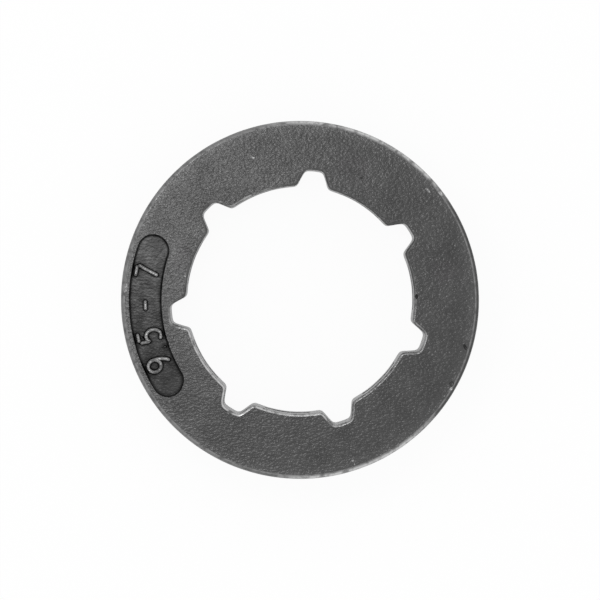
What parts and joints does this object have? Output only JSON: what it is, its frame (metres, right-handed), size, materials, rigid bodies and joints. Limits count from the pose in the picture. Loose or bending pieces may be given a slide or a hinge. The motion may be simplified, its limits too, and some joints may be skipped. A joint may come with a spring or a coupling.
{
  "type": "chain rim sprocket",
  "caption": "Flat ring-shaped saw-chain rim sprocket: twin side rims joined by drive teeth, open pockets between them and a splined bore that floats on a drum hub.",
  "frame": {"origin": "on the bore's axis, in the plane of the plain lower face", "axes": "+Z along the bore's axis, from the plain face to the face with the size mark; -X points from the axis to the middle of the size mark"},
  "size_m": [0.036, 0.036, 0.0085],
  "materials": {
    "cast_steel": "satin"
  },
  "bodies": {
    "root": {"rim_sprocket": "cast_steel"}
  },
  "joints": []
}
